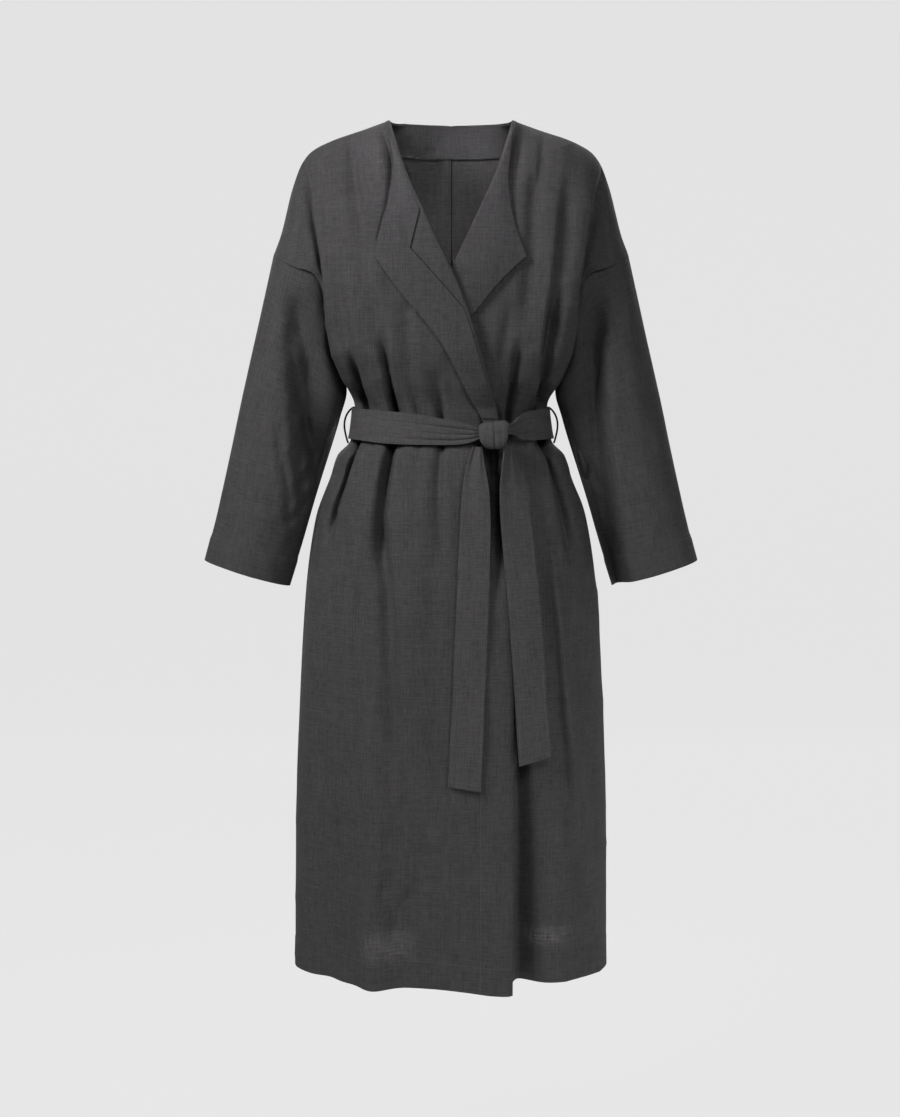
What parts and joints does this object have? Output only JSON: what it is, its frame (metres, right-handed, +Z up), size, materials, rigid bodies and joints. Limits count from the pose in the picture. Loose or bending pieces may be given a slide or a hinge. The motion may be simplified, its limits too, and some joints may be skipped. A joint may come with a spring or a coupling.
{
  "type": "linen wrap jacket",
  "caption": "Long wrap jacket of charcoal linen with dropped shoulders, turned-out lapels and a knotted tie belt, held in its worn shape and open at neck, cuffs and hem.",
  "frame": {"origin": "midway between the two neck points, on the line of the shoulder seams, where the jacket hangs from a hanger or rests on shoulders", "axes": "+Z up, front towards -Y, +X towards the wearer's left"},
  "size_m": [0.6502, 0.296, 1.1326],
  "materials": {
    "linen": "matt charcoal plain-weave linen, softly creased",
    "facing_linen": "matt charcoal linen of the facings",
    "belt_linen": "matt charcoal linen, doubled and edge-stitched",
    "thread": "dark matt sewing thread, chained"
  },
  "bodies": {
    "root": {"front_right": "linen", "front_left": "linen", "back_right": "linen", "back_left": "linen", "sleeve_right": "linen", "sleeve_left": "linen", "facing_right": "facing_linen", "facing_left": "facing_linen", "back_neck_facing": "facing_linen", "belt_band": "belt_linen", "belt_knot": "belt_linen", "belt_tail_right": "belt_linen", "belt_tail_left": "belt_linen", "belt_loop_right": "thread", "belt_loop_left": "thread"}
  },
  "joints": []
}
